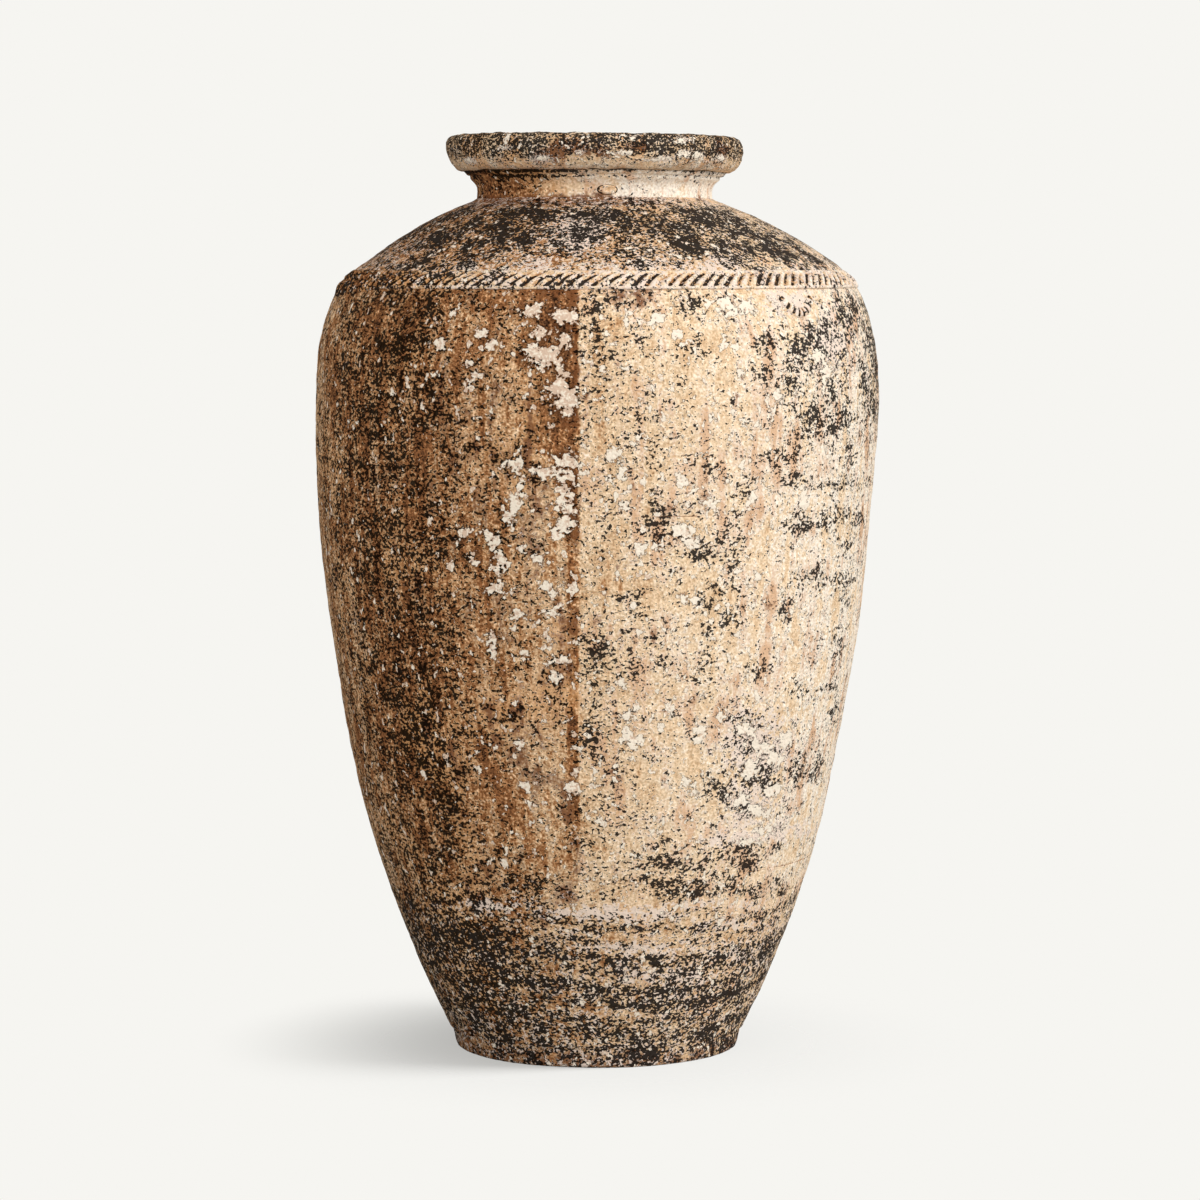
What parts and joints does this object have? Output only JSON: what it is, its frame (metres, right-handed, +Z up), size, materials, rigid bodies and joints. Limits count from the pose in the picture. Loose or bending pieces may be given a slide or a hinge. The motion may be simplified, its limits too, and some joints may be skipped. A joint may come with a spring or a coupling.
{
  "type": "terracotta storage jar",
  "caption": "Tall hand-built terracotta storage jar with a domed shoulder, notched rope cordon, short collar neck and heavy rolled rim, standing on a flat foot.",
  "frame": {"origin": "centre of the flat underside of the foot, on the floor", "axes": "+Z up along the jar's axis, -Y towards the front seen in the picture, +X to the right of the picture"},
  "size_m": [0.542, 0.542, 0.88],
  "materials": {
    "foot_clay": "bare fired terracotta, sooted",
    "wall_slip": "matt cream slip over terracotta, stained and lime-flaked",
    "shoulder_slip": "matt cream slip with soot specks",
    "neck_slip": "matt cream slip",
    "rim_crust": "dark weathered crust over terracotta",
    "cordon_clay": "worn pale slip over terracotta"
  },
  "bodies": {
    "root": {"foot_slab": "foot_clay", "first_lift": "wall_slip", "second_lift": "wall_slip", "third_lift": "wall_slip", "fourth_lift": "wall_slip", "shoulder": "shoulder_slip", "neck": "neck_slip", "rolled_rim": "rim_crust", "rope_cordon": "cordon_clay", "swag_strip": "cordon_clay", "neck_boss": "neck_slip"}
  },
  "joints": []
}
